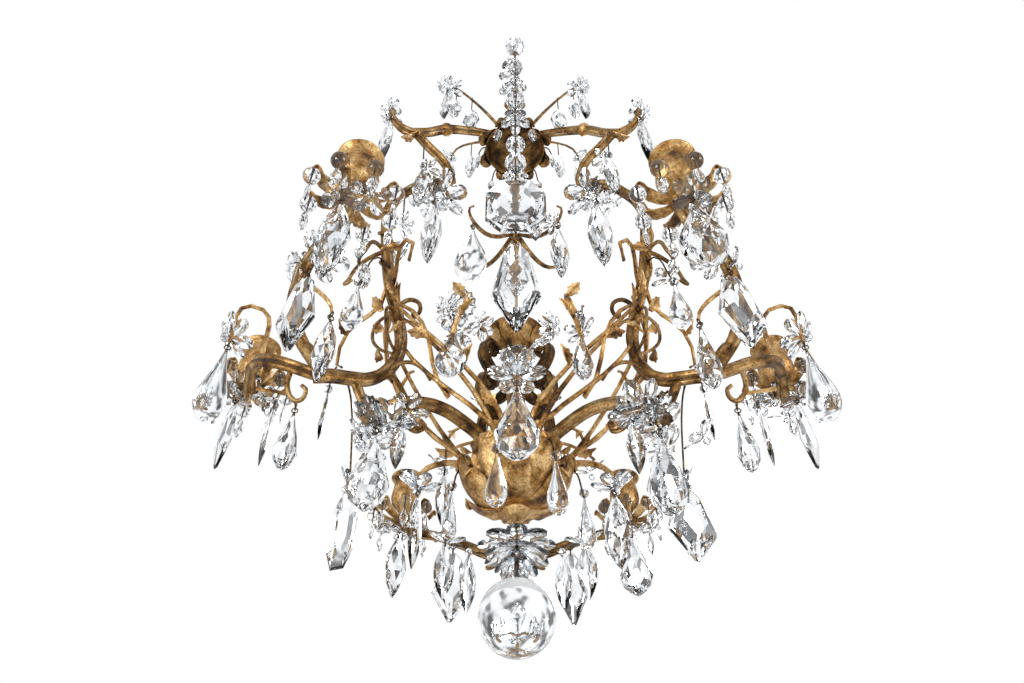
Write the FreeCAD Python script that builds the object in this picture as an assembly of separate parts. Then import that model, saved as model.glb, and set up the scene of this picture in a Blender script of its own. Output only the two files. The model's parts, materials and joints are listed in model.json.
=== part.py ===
"""Petite six-light candle chandelier: a gilt wrought-iron cage dressed with swinging cut-crystal pendants.

Millimetres, +Z up. The origin is the point where the suspension ring bears on a ceiling hook.
Azimuth 0 faces -Y and grows towards +X. The frame repeats three times, every 120 degrees.
"""
import FreeCAD
import Part
import math
import os

V = FreeCAD.Vector
UP = V(0, 0, 1)
os.makedirs("parts", exist_ok=True)

# ---- driving dimensions ----
RING_R, RING_WIRE = 11.0, 2.0          # suspension ring: centre-line radius, wire radius
EYE_R, EYE_WIRE = 8.0, 2.0             # the eye that it swings in
LINK_R, LINK_WIRE = 2.3, 0.5           # small wire links that carry the pendants
LINK_GAP = 0.3                         # free play between two linked wires
CROWN_Z, CROWN_R, CROWN_H = -110.0, 34.0, 22.0
CUP_RING_R = 220.0                     # axis of each candle cup from the centre
CUP_LIP_Z, CUP_LIP_R = -424.0, 17.0
CUP_BORE_R, CUP_BORE_DEPTH = 11.0, 24.0
STAR_Z, STAR_R, STAR_LEAVES = -476.0, 29.0, 8
BAR_AZ = (60.0, 180.0, -60.0)          # the three cage bars
CUP_AZ = (30.0, 90.0, 150.0, -150.0, -90.0, -30.0)
BRACKET_AZ = (0.0, 120.0, -120.0)      # the brackets between the bars
SPRAY_AZ = (0.0, 60.0, 120.0, 180.0, -120.0, -60.0)
BAR_WIRE, ARCH_WIRE, TWIG_WIRE = 4.3, 4.4, 1.5
BOWL_RIM_Z, BOWL_RIM_R, BOWL_BOTTOM_Z = -552.0, 38.0, -588.0
VASE_RIM_Z, VASE_RIM_R, VASE_FOOT_Z = -408.0, 26.0, -439.0
HOOK_AZ = (55.0, 125.0, -125.0, -55.0)
HOOK_EYE_R, HOOK_EYE_Z = 50.0, -284.0
BALL_R, BALL_Z, BALL_HINGE_Z = 26.0, -673.0, -604.0


def polar(az, r, z):
    """A point at an azimuth in degrees, a distance from the axis and a height."""
    a = math.radians(az)
    return V(r * math.sin(a), -r * math.cos(a), z)


def tangential(az):
    """The level direction along the ring at an azimuth."""
    a = math.radians(az)
    return V(math.cos(a), math.sin(a), 0)


def radial(az):
    """The level direction away from the axis at an azimuth."""
    return polar(az, 1, 0)


def save(name, solids):
    """Write one node, a single solid or a group of separate ones."""
    solids = solids if isinstance(solids, list) else [solids]
    for solid in solids:
        if not solid.isValid() or solid.Volume <= 0:
            raise ValueError(name + " is not a sound solid")
    shape = solids[0] if len(solids) == 1 else Part.makeCompound(solids)
    shape.exportStep("parts/" + name + ".step")
    print(name, len(solids), round(sum(s.Volume for s in solids)))


def fused(*solids):
    """One solid from several that overlap."""
    shape = solids[0].fuse(list(solids[1:]))
    if len(shape.Solids) != 1:
        raise ValueError("the pieces do not join into one solid")
    return shape.Solids[0]


def bar(points, radii, sides=8, steps=14, flat=1.0, across=None):
    """A forged bar with a polygon section, swept along a smooth curve through the points.

    radii are spread evenly along the bar, flat thins the section across its width direction.
    """
    curve = Part.BSplineCurve()
    curve.interpolate(points)
    first, last = curve.FirstParameter, curve.LastParameter
    side = across
    wires = []
    for i in range(steps + 1):
        share = i / steps
        at = curve.value(first + share * (last - first))
        along = V(*curve.tangent(first + share * (last - first))[0]).normalize()
        if side is None:
            side = along.cross(UP) if abs(along.z) < 0.95 else along.cross(V(1, 0, 0))
        side = (side - along * side.dot(along)).normalize()
        over = along.cross(side)
        place = share * (len(radii) - 1)
        low = min(int(place), len(radii) - 2)
        r = radii[low] + (radii[low + 1] - radii[low]) * (place - low)
        ring = []
        for k in range(sides):
            turn = 2 * math.pi * (k + 0.5) / sides
            ring.append(at + side * (r * math.cos(turn)) + over * (r * flat * math.sin(turn)))
        wires.append(Part.makePolygon(ring + [ring[0]]))
    return Part.makeLoft(wires, True, True)


def turned(profile, x=0.0, y=0.0):
    """A solid of revolution from (radius, height) corners, standing at x, y."""
    corners = [V(r, 0, z) for r, z in profile]
    face = Part.Face(Part.makePolygon(corners + [corners[0]]))
    solid = face.revolve(V(0, 0, 0), UP, 360)
    solid = solid.Solids[0] if solid.Solids else Part.makeSolid(solid)
    solid.translate(V(x, y, 0))
    return solid


def ring_at(centre, normal, radius, wire):
    """A closed wire ring."""
    return Part.makeTorus(radius, wire, centre, normal)


# Outlines of the cut stones: (share of the height from the top, share of the half width).
PEAR = ((0, 0.12), (0.3, 0.42), (0.52, 0.82), (0.7, 1.0), (0.86, 0.8), (0.96, 0.4), (1, 0.1))
ALMOND = ((0, 0.1), (0.22, 0.6), (0.5, 1.0), (0.78, 0.6), (1, 0.1))
OVAL = ((0, 0.1), (0.12, 0.38), (0.28, 0.74), (0.5, 1.0), (0.78, 0.68), (0.92, 0.34), (1, 0.08))
KITE = ((0, 0.3), (0.12, 0.55), (0.66, 1.0), (1, 0.12))
PLAQUE = ((0, 0.5), (0.2, 1.0), (0.8, 1.0), (1, 0.5))
BEAD = ((0, 0.4), (0.2, 0.82), (0.5, 1.0), (0.8, 0.82), (1, 0.4))
STONES = {
    "pear": (PEAR, 8, 0.85), "almond": (ALMOND, 6, 0.5), "oval": (OVAL, 8, 0.7),
    "kite": (KITE, 6, 0.42), "plaque": (PLAQUE, 6, 0.34), "bead": (BEAD, 8, 1.0),
}


def stone(kind, top, width, height, az):
    """A faceted stone that hangs from its top point, its broad face outward at an azimuth."""
    outline, sides, flat = STONES[kind]
    wide, deep = tangential(az), radial(az)
    wires = []
    for share, half in outline:
        ring = []
        for k in range(sides):
            turn = 2 * math.pi * (k + 0.5) / sides
            ring.append(top - UP * (share * height)
                        + wide * (half * width / 2 * math.cos(turn) / math.cos(math.pi / sides))
                        + deep * (half * width / 2 * flat * math.sin(turn)))
        wires.append(Part.makePolygon(ring + [ring[0]]))
    return Part.makeLoft(wires, True, True)


def fixed_link(az, r, hinge_z):
    """The upper link of a pendant: its lowest point is the hinge."""
    return ring_at(polar(az, r, hinge_z + LINK_R), radial(az), LINK_R, LINK_WIRE)


def pendant(kind, az, r, hinge_z, width, height, face=None):
    """A stone with the eye that swings on the fixed link above it, turned to face an azimuth."""
    eye_z = hinge_z + 2 * LINK_WIRE + LINK_GAP - LINK_R
    eye = ring_at(polar(az, r, eye_z), tangential(az), LINK_R, LINK_WIRE)
    top = polar(az, r, eye_z - LINK_R + 0.4)
    return fused(stone(kind, top, width, height, az if face is None else face), eye)


# ---- suspension ----
save("suspension_ring", ring_at(V(0, 0, RING_WIRE - RING_R), V(0, 1, 0), RING_R, RING_WIRE))
EYE_TOP = RING_WIRE - 2 * RING_R + RING_WIRE + EYE_WIRE + LINK_GAP
EYE_Z = EYE_TOP - EYE_R
STEM_TOP = EYE_Z - EYE_R
stem = turned([(0, STEM_TOP - 1), (3, STEM_TOP - 1), (6, STEM_TOP - 6), (4, STEM_TOP - 12),
               (3.4, STEM_TOP - 34), (8, STEM_TOP - 40), (9, STEM_TOP - 44), (4, STEM_TOP - 50),
               (4, CROWN_Z + 18), (0, CROWN_Z + 18)])
straps = []
for az in (90, -90):
    straps.append(bar([polar(az, 3, STEM_TOP - 37), polar(az, 15, STEM_TOP - 24),
                       polar(az, 11, STEM_TOP - 9), polar(az, 3, STEM_TOP - 5)],
                      (2.2, 2.4, 2.0, 1.6), 6, 8, 1.0, tangential(az)))
save("crown_eye", fused(stem, ring_at(V(0, 0, EYE_Z), V(1, 0, 0), EYE_R, EYE_WIRE), *straps))

# ---- crown: an inverted hollow cup of leaves on a stem, with a rod and four hooks under it ----
WALL = 1.6
save("crown_cup", turned([
    (0, CROWN_Z + CROWN_H), (10, CROWN_Z + CROWN_H), (22, CROWN_Z + CROWN_H - 4),
    (31, CROWN_Z + 9), (CROWN_R, CROWN_Z), (CROWN_R - WALL, CROWN_Z), (29.2, CROWN_Z + 8.4),
    (21, CROWN_Z + CROWN_H - 5.8), (9.5, CROWN_Z + CROWN_H - 4), (0, CROWN_Z + CROWN_H - 4)]))
rod = turned([(0, CROWN_Z + 19), (7, CROWN_Z + 19), (7, CROWN_Z + 12), (3, CROWN_Z + 8),
              (3, -252), (6, -256), (7, -262), (5, -268), (2, -276), (0, -276)])
hooks = [rod]
for az in HOOK_AZ:
    hooks.append(bar([polar(az, 3, -262), polar(az, 18, -281), polar(az, 36, -289),
                      polar(az, HOOK_EYE_R, HOOK_EYE_Z + 4), polar(az, 55, -266),
                      polar(az, 50, -256)], (2.4, 2.4, 2.2, 2.0, 1.4, 1.0), 6, 12, 1.0,
                     tangential(az)))
save("crown_hooks", fused(*hooks))

sprays = []
for az in SPRAY_AZ:
    sprays.append(bar([polar(az, 9, -90), polar(az, 32, -66), polar(az, 62, -46),
                       polar(az, 82, -42), polar(az, 88, -50)], (2.2, 1.9, 1.6, 1.3, 1.2), 6, 10,
                      1.0, tangential(az)))
save("crown_sprays", sprays)

# ---- the three cage bars ----
BAR_TOP = ((24, -98), (50, -113), (85, -137), (112, -166), (130, -176), (144, -166), (147, -150))
BAR_SCROLL = ((118, -170), (100, -186), (86, -196), (77, -213), (76, -235), (100, -250),
              (120, -280), (130, -303), (133, -326), (131, -350), (128, -372), (120, -413),
              (109.5, -446), (105, -473), (112, -503), (125, -518), (138, -523), (152, -527),
              (165, -533))
BUILD_AZ = 180.0                       # every bar is built facing straight back, then turned
across = tangential(BUILD_AZ)
upper = bar([polar(BUILD_AZ, r, z) for r, z in BAR_TOP], (3.6, 4, 4.4, 4.2, 4.2, 3.2, 1.8), 8, 16,
            1.0, across)
lower = bar([polar(BUILD_AZ, r, z) for r, z in BAR_SCROLL],
            (4.2, 4.2, 3.6, 4.0, 4.4, 4.4, 4.4, 4.4, 4.4, 4.6, 4.6), 8, 42, 1.0, across)
cage_bar = fused(upper, lower, Part.makeSphere(7.5, polar(BUILD_AZ, 85, -137)))
for n, az in enumerate(BAR_AZ):
    turned_bar = cage_bar.copy()
    turned_bar.rotate(V(0, 0, 0), UP, az - BUILD_AZ)
    save("cage_bar_%d" % (n + 1), turned_bar)

# ---- bowl, its arches and brackets ----
arches = []
for az in BAR_AZ:
    across = tangential(az)
    arch = bar([polar(az, r, z) for r, z in ((16, -551), (30, -536), (46, -527), (66, -521),
                                             (86, -524), (103, -533), (118, -548), (124, -557))],
               (3.8, 4.4, 4.6, 4.4, 4.4, 4.2, 3.6), 8, 18, 1.0, across)
    brace = bar([polar(az, 119, -550), polar(az, 127, -541), polar(az, 137, -524)],
                (3.2, 3.0, 3.2), 8, 5, 1.0, across)
    curl = bar([polar(az, 97, -529), polar(az, 92, -545), polar(az, 82, -548),
                polar(az, 80, -540)], (3.4, 3.0, 2.4, 1.8), 6, 7, 1.0, across)
    arches.append(fused(arch, brace, curl))
save("bowl_arches", arches)

brackets = []
for az in BRACKET_AZ:
    brackets.append(bar([polar(az, r, z) for r, z in ((16, -551), (32, -541), (52, -529),
                                                      (74, -521), (88, -523), (92, -532))],
                        (3.0, 3.2, 3.0, 2.8, 2.6, 2.2), 8, 12, 1.0, tangential(az)))
save("bowl_brackets", brackets)

save("leaf_bowl", turned([
    (0, BOWL_BOTTOM_Z), (12, BOWL_BOTTOM_Z + 1), (25, BOWL_BOTTOM_Z + 7), (34, BOWL_BOTTOM_Z + 19),
    (BOWL_RIM_R - 1, BOWL_RIM_Z - 4), (BOWL_RIM_R + 4, BOWL_RIM_Z), (BOWL_RIM_R, BOWL_RIM_Z + 2),
    (0, BOWL_RIM_Z + 2)]))
FINIAL_LINK_Z = BALL_HINGE_Z + LINK_R
save("bowl_button", fused(
    turned([(0, BOWL_BOTTOM_Z), (8, BOWL_BOTTOM_Z), (11, BOWL_BOTTOM_Z - 4),
            (7, BOWL_BOTTOM_Z - 8), (2, BOWL_BOTTOM_Z - 11), (0, BOWL_BOTTOM_Z - 11)]),
    ring_at(V(0, 0, FINIAL_LINK_Z), V(0, 1, 0), LINK_R, LINK_WIRE)))

# ---- vase and its stem with volutes ----
save("central_vase", turned([
    (0, VASE_FOOT_Z), (7, VASE_FOOT_Z), (10, VASE_FOOT_Z + 5), (14, VASE_FOOT_Z + 14),
    (22, VASE_FOOT_Z + 22), (VASE_RIM_R, VASE_RIM_Z), (VASE_RIM_R - 3, VASE_RIM_Z + 1),
    (12, VASE_RIM_Z - 3), (0, VASE_RIM_Z - 3)]))
stem_parts = [turned([
    (0, BOWL_RIM_Z + 2), (14, BOWL_RIM_Z + 2), (12, -542), (5, -536), (4, -520), (6.5, -498),
    (8.5, -470), (10, -452), (5, -444), (6, VASE_FOOT_Z), (0, VASE_FOOT_Z)])]
for n in range(4):
    az = 45 + 90 * n
    stem_parts.append(bar([polar(az, r, z) for r, z in ((3, -510), (20, -515), (34, -506),
                                                        (40, -490), (33, -477), (25, -484))],
                          (3.0, 4.4, 4.8, 4.6, 4.2, 3.6), 6, 10, 0.5, tangential(az)))
    stem_parts.append(bar([polar(az, r, z) for r, z in ((5, -464), (22, -470), (35, -462),
                                                        (38, -448), (30, -440), (24, -447))],
                          (3.0, 4.2, 4.6, 4.4, 4.0, 3.4), 6, 10, 0.5, tangential(az)))
save("vase_stem", fused(*stem_parts))

# ---- six arms, their drip pans and candle cups ----
ARM_PATH = ((0, 160, -531), (7, 194, -512), (14, 206, -497), (21, 211, -489), (27, 215, -487),
            (30, CUP_RING_R, -478))
for n, az in enumerate(CUP_AZ):
    parent = min(BAR_AZ, key=lambda b: abs((az - b + 180) % 360 - 180))
    away = 1 if (az - parent + 180) % 360 - 180 > 0 else -1
    path = [polar(parent + away * turn, r, z) for turn, r, z in ARM_PATH]
    save("arm_%d" % (n + 1), bar(path, (3.8, 4.4, 4.2, 3.8, 4.4, 5.0), 8, 18))


def drip_star(az):
    """A pan of forged leaves that rise to their tips."""
    centre = polar(az, CUP_RING_R, 0)
    leaf = bar([V(4, 0, STAR_Z + 1.5), V(13, 0, STAR_Z + 1.5), V(22, 0, STAR_Z + 5),
                V(STAR_R, 0, STAR_Z + 12)], (3.4, 5.6, 5.2, 1.6), 6, 6, 0.22, V(0, 1, 0))
    pan = turned([(0, STAR_Z - 2), (6, STAR_Z - 2), (9, STAR_Z), (10, STAR_Z + 3.6),
                  (0, STAR_Z + 3.6)])
    leaves = []
    for k in range(STAR_LEAVES):
        turned_leaf = leaf.copy()
        turned_leaf.rotate(V(0, 0, 0), UP, az + 360 / STAR_LEAVES * (k + 0.5))
        leaves.append(turned_leaf)
    star = fused(pan, *leaves)
    star.translate(centre)
    return star


save("drip_stars", [drip_star(az) for az in CUP_AZ])

CUP_FOOT = STAR_Z + 3.6
CUP_WALL = ((0, CUP_FOOT), (8, CUP_FOOT), (6, CUP_FOOT + 5), (9, CUP_FOOT + 11),
            (14.5, CUP_FOOT + 20), (15, CUP_FOOT + 26), (12.8, CUP_LIP_Z - 12),
            (13, CUP_LIP_Z - 5), (CUP_LIP_R, CUP_LIP_Z - 2), (CUP_LIP_R, CUP_LIP_Z),
            (CUP_BORE_R, CUP_LIP_Z), (CUP_BORE_R, CUP_LIP_Z - CUP_BORE_DEPTH),
            (0, CUP_LIP_Z - CUP_BORE_DEPTH))
cups = []
for az in CUP_AZ:
    at = polar(az, CUP_RING_R, 0)
    cups.append(turned(CUP_WALL, at.x, at.y))
save("candle_cups", cups)

# ---- pendants: name, stone, azimuth, radius, hinge height, width, height, azimuth it faces ----
PENDANTS = (
    ("star_pendant_1", "pear", 30, 229, -484, 35, 62, 30),
    ("star_pendant_2", "kite", 90, 229, -484, 21, 66, 35),
    ("star_pendant_3", "pear", 150, 229, -484, 33, 64, 150),
    ("star_pendant_4", "oval", -150, 229, -484, 22, 66, -150),
    ("star_pendant_5", "kite", -90, 229, -484, 20, 66, -35),
    ("star_pendant_6", "oval", -30, 229, -484, 25, 74, -10),
    ("arm_pendant_1", "kite", 44, 208, -500, 36, 68, 20),
    ("arm_pendant_2", "pear", 72, 228, -492, 28, 68, 72),
    ("arm_pendant_3", "kite", 165, 206, -503, 29, 74, 165),
    ("arm_pendant_4", "kite", -163, 206, -503, 38, 72, -163),
    ("arm_pendant_5", "pear", -72, 228, -492, 27, 68, -72),
    ("arm_pendant_6", "kite", -43, 207, -503, 29, 70, -20),
    ("bar_pear_1", "pear", 58, 117, -566, 33, 66, 58),
    ("bar_pear_2", "pear", 180, 122, -570, 30, 64, 180),
    ("bar_pear_3", "pear", -58, 116, -564, 33, 64, -58),
    ("bracket_drop_1", "pear", 0, 91, -550, 32, 60, 0),
    ("bracket_drop_2", "oval", 120, 91, -542, 28, 66, 120),
    ("bracket_drop_3", "almond", -120, 91, -542, 18, 66, -120),
    ("inner_drop_1", "pear", 46, 174, -520, 20, 56, 46),
    ("inner_drop_2", "pear", 83, 173, -512, 21, 56, 83),
    ("inner_drop_3", "almond", 158, 173, -516, 20, 56, 158),
    ("inner_drop_4", "almond", -158, 173, -516, 20, 56, -158),
    ("inner_drop_5", "pear", -83, 173, -512, 22, 54, -83),
    ("inner_drop_6", "oval", -47, 176, -512, 21, 58, -47),
    ("corner_drop_1", "oval", 60, 90, -272, 33, 92, 60),
    ("corner_drop_2", "oval", 180, 90, -272, 30, 84, 180),
    ("corner_drop_3", "oval", -60, 90, -272, 28, 88, -60),
    ("hook_drop_1", "oval", 55, HOOK_EYE_R, -289, 24, 72, 55),
    ("hook_drop_2", "pear", -55, HOOK_EYE_R, -289, 34, 70, -55),
)
links = []
for name, kind, az, r, hinge_z, width, height, face in PENDANTS:
    save(name, pendant(kind, az, r, hinge_z, width, height, face))
    links.append(fixed_link(az, r, hinge_z))

# the chain on the front spray: a string of stones, a plaque under it and a long prism under that
CHAIN_AZ, CHAIN_R = 0.0, 88.0
CHAIN_Z, PLAQUE_Z, PRISM_Z = -56.0, -296.0, -387.0
CHAIN_STONES = (("oval", -64, 17, 44), ("bead", -110, 12, 12), ("oval", -126, 20, 58),
                ("bead", -188, 12, 12), ("bead", -232, 19, 17), ("oval", -250, 21, 40))


def string_of_stones():
    """The stones on their wire, with a link at each end."""
    eye_z = CHAIN_Z + 2 * LINK_WIRE + LINK_GAP - LINK_R
    wire = Part.makeCylinder(0.8, eye_z - LINK_R - (PLAQUE_Z + 2 * LINK_R),
                             polar(CHAIN_AZ, CHAIN_R, PLAQUE_Z + 2 * LINK_R))
    solids = [wire, ring_at(polar(CHAIN_AZ, CHAIN_R, eye_z), tangential(CHAIN_AZ), LINK_R, LINK_WIRE),
              fixed_link(CHAIN_AZ, CHAIN_R, PLAQUE_Z)]
    for kind, z, width, height in CHAIN_STONES:
        solids.append(stone(kind, polar(CHAIN_AZ, CHAIN_R, z), width, height, CHAIN_AZ))
    return fused(*solids)


save("front_chain", string_of_stones())
links.append(fixed_link(CHAIN_AZ, CHAIN_R, CHAIN_Z))
PLAQUE_H = 80.0
plaque = pendant("plaque", CHAIN_AZ, CHAIN_R, PLAQUE_Z, 53, PLAQUE_H)
plaque_foot = Part.makeCylinder(0.8, 6, polar(CHAIN_AZ, CHAIN_R, PRISM_Z + 2 * LINK_R))
save("front_plaque", fused(plaque, plaque_foot, fixed_link(CHAIN_AZ, CHAIN_R, PRISM_Z)))
save("front_prism", pendant("kite", CHAIN_AZ, CHAIN_R, PRISM_Z, 40, 104))

# the ball under the bowl, on a neck that carries a rosette of crystal leaves
ball_eye_z = BALL_HINGE_Z + 2 * LINK_WIRE + LINK_GAP - LINK_R
rosette = turned([(0, -613), (8, -613), (25, -618), (25, -621), (8, -624), (0, -624)])
neck = Part.makeCylinder(2, ball_eye_z - LINK_R - BALL_Z, V(0, 0, BALL_Z))
save("ball_drop", fused(Part.makeSphere(BALL_R, V(0, 0, BALL_Z)), neck, rosette,
                        ring_at(V(0, 0, ball_eye_z), V(1, 0, 0), LINK_R, LINK_WIRE)))


# ---- twigs: thin gilt branches that reach from the frame to the stones ----
def twig(points, thick=TWIG_WIRE, steps=7):
    """A tapering branch through (azimuth, radius, height) points."""
    return bar([polar(*p) for p in points], (thick * 1.3, thick * 1.1, thick, thick * 0.8), 6, steps)


TOP_OF_LINK = 2 * LINK_R
twigs = []
for name, kind, az, r, hinge_z, width, height, face in PENDANTS:
    top = hinge_z + TOP_OF_LINK
    if name.startswith("inner_drop"):
        twigs.append(twig([(az, 206, top + 14), (az, (206 + r) / 2, top + 12), (az, r + 3, top + 7),
                           (az, r, top - 0.3)]))
    if name in ("arm_pendant_2", "arm_pendant_5"):
        twigs.append(twig([(az, 202, top - 13), (az, 203, top + 18), (az, 212, top + 42),
                           (az, 224, top + 42), (az, 229, top + 26), (az, r, top - 0.3)], 1.7, 12))
    if name.startswith("star_pendant"):
        twigs.append(twig([(az, 225, STAR_Z + 1), (az, 227, STAR_Z - 0.6), (az, 228.6, STAR_Z - 1.8),
                           (az, 229, top - 0.3)], 0.9))
    if name.startswith("corner_drop"):
        twigs.append(twig([(az, 84, -240), (az, 88, -250), (az, 90, -259), (az, 90, top - 0.3)], 1.0))
    if name.startswith("bracket_drop"):
        twigs.append(twig([(az, 92, -529), (az, 91.4, -532), (az, 91, -534), (az, 91, top - 0.3)], 0.9))
for name, kind, az, r, hinge_z, width, height, face in PENDANTS:
    if name.startswith("arm_pendant") and name[-1] not in "25":
        top = hinge_z + TOP_OF_LINK
        twigs.append(twig([(az, r, -491), (az, r, -493), (az, r, -495), (az, r, top - 0.3)], 0.9))
    if name.startswith("bar_pear"):
        bar_az = min(BAR_AZ, key=lambda b: abs((az - b + 180) % 360 - 180))
        twigs.append(twig([(bar_az, 120, -553), (bar_az, 119, -555), (az, r + 1, -558),
                           (az, r, hinge_z + TOP_OF_LINK - 0.3)], 0.9))
    if name.startswith("hook_drop"):
        twigs.append(twig([(az, 47, -284), (az, 48, -284.2), (az, 49, -284.3),
                           (az, r, hinge_z + TOP_OF_LINK - 0.2)], 0.6))
save("wire_links", links)
save("pendant_twigs", twigs)

# the vines that wind between the bowl, the bars and the vase
VINES = (
    ((10, 26, -544), (20, 54, -526), (34, 86, -500), (46, 108, -470), (54, 116, -444), (59, 116, -430)),
    ((-10, 26, -544), (-20, 54, -526), (-34, 86, -500), (-46, 108, -470), (-54, 116, -444),
     (-59, 116, -430)),
    ((59, 122, -410), (52, 124, -424), (42, 138, -424), (34, 150, -432), (30, 152, -446), (33, 146, -454)),
    ((-59, 122, -410), (-52, 124, -424), (-42, 138, -424), (-34, 150, -432), (-30, 152, -446),
     (-33, 146, -454)),
    ((34, 86, -500), (28, 96, -480), (22, 100, -462), (26, 92, -450), (33, 86, -456)),
    ((-34, 86, -500), (-28, 96, -480), (-22, 100, -462), (-26, 92, -450), (-33, 86, -456)),
    ((16, 30, -549), (34, 56, -532), (46, 86, -514), (54, 106, -486), (59, 107, -464)),
    ((-16, 30, -549), (-34, 56, -532), (-46, 86, -514), (-54, 106, -486), (-59, 107, -464)),
    ((24, 36, -547), (32, 58, -520), (42, 80, -492), (50, 100, -466), (59, 111, -444)),
    ((-24, 36, -547), (-32, 58, -520), (-42, 80, -492), (-50, 100, -466), (-59, 111, -444)),
    ((44, 72, -526), (44, 90, -504), (42, 100, -484), (45, 108, -464), (59, 114, -436)),
    ((-44, 72, -526), (-44, 90, -504), (-42, 100, -484), (-45, 108, -464), (-59, 114, -436)),
)
vines = []
for az in BRACKET_AZ:
    for points in VINES:
        vines.append(twig([(az + turn, r, z) for turn, r, z in points], 1.7))
save("vines", vines)

# ---- small fixed stones: beads and drops on the leaf tips, and short strings on the upper scrolls ----
bead_drops = []
for az in CUP_AZ:
    at = polar(az, CUP_RING_R, 0)
    parent = min(BAR_AZ, key=lambda b: abs((az - b + 180) % 360 - 180))
    over_arm = 1 if (az - parent + 180) % 360 - 180 > 0 else 6
    for k in range(STAR_LEAVES):
        if k == over_arm:               # the arm passes under this leaf, so nothing hangs there
            continue
        leaf_az = az + 180 + 360 / STAR_LEAVES * (k + 0.5)
        tip = at + polar(leaf_az, STAR_R + 1, STAR_Z + 10)
        bead = stone("bead", tip, 12, 12, leaf_az)
        drop = stone("almond", tip - UP * 11.6, 8, 22, leaf_az)
        bead_drops.append(fused(bead, drop))
save("star_beads", bead_drops)

# ---- stones wired straight to the frame: stone, azimuth, radius, top, width, height, azimuth it
# faces, and the point of the frame that its wire starts from ----
WIRED_DROPS = (
    ("almond", 60, 148, -172, 20, 78, 35, (60, 147, -151)),
    ("almond", -60, 148, -172, 20, 78, -35, (-60, 147, -151)),
    ("almond", 180, 148, -172, 20, 78, 180, (180, 147, -151)),
    ("almond", 60, 89, -62, 16, 56, 30, (60, 88, -50)),
    ("almond", -60, 89, -62, 16, 56, -30, (-60, 88, -50)),
    ("oval", 120, 89, -62, 18, 56, 120, (120, 88, -50)),
    ("oval", -120, 89, -62, 18, 56, -120, (-120, 88, -50)),
    ("almond", 180, 89, -62, 18, 56, 180, (180, 88, -50)),
    ("almond", 28, 40, -124, 11, 26, 28, (28, 33.2, -109)),
    ("almond", -28, 40, -124, 11, 26, -28, (-28, 33.2, -109)),
    ("almond", 85, 41, -124, 11, 26, 60, (85, 33.2, -109)),
    ("almond", -85, 41, -124, 11, 26, -60, (-85, 33.2, -109)),
    ("almond", 140, 41, -124, 11, 26, 140, (140, 33.2, -109)),
    ("almond", -140, 41, -124, 11, 26, -140, (-140, 33.2, -109)),
    ("oval", 51, 116, -238, 17, 62, 30, (60, 114, -169)),
    ("oval", -51, 113, -254, 18, 62, -30, (-60, 114, -169)),
    ("oval", -74, 112, -293, 20, 56, -30, (-60, 120, -280)),
    ("almond", 22, 48, -294, 13, 37, 10, (55, 30, -287)),
    ("pear", 54, 152, -443, 20, 46, 54, (60, 127, -385)),
    ("pear", -54, 152, -443, 20, 48, -54, (-60, 127, -385)),
    ("pear", 31, 93, -486, 17, 48, 31, (33, 86, -456)),
    ("pear", -31, 93, -486, 26, 44, -31, (-33, 86, -456)),
    ("almond", 92, 157, -470, 13, 50, 60, (90, 152, -446)),
    ("almond", -92, 157, -470, 13, 50, -60, (-90, 152, -446)),
    ("almond", -142, 101, -500, 15, 51, -142, (-142, 100, -462)),
    ("almond", 51, 104, -560, 14, 45, 20, (60, 104, -536)),
    ("almond", -51, 104, -562, 12, 39, -20, (-60, 104, -536)),
    ("kite", 80, 122, -586, 38, 58, 20, (60, 142, -524)),
    ("plaque", -80, 121, -588, 20, 62, -20, (-60, 142, -524)),
    ("pear", -17, 48, -572, 16, 46, -17, (-17, 40, -552)),
    ("pear", 32, 52, -577, 16, 46, 32, (32, 40, -552)),
    ("pear", -90, 48, -572, 13, 42, -90, (-90, 40, -552)),
    ("pear", 90, 50, -578, 16, 44, 90, (90, 40, -552)),
    ("almond", 86.6, 192.6, -502, 15, 56, 60, (86.6, 192.6, -496)),
    ("almond", -86.6, 192.6, -502, 15, 56, -60, (-86.6, 192.6, -496)),
    ("almond", 166, 181, -522, 16, 56, 166, (172, 191, -514)),
    ("almond", -166, 181, -522, 16, 58, -166, (-172, 191, -514)),
)
wired = []
for kind, az, r, z, width, height, face, start in WIRED_DROPS:
    near, above = polar(*start), polar(az, r, z)
    sag = UP * (0.3 * (near.z - z))
    path = [near, near + (above - near) * 0.4 + sag, above + (near - above) * 0.15 + sag * 0.5,
            above - UP * 1.5]
    wired.append(fused(bar(path, (0.9, 0.7, 0.7, 0.7), 6, 8), stone(kind, above, width, height, face)))
save("wired_drops", wired)
print("nodes", len(os.listdir("parts")))
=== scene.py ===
"""Looks of a petite crystal candle chandelier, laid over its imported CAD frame.

Metres, +Z up, front at -Y. Sizes in the tables are millimetres, and angles are degrees."""
import bpy
import json
import math
import random
from mathutils import Matrix, Vector


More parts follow.
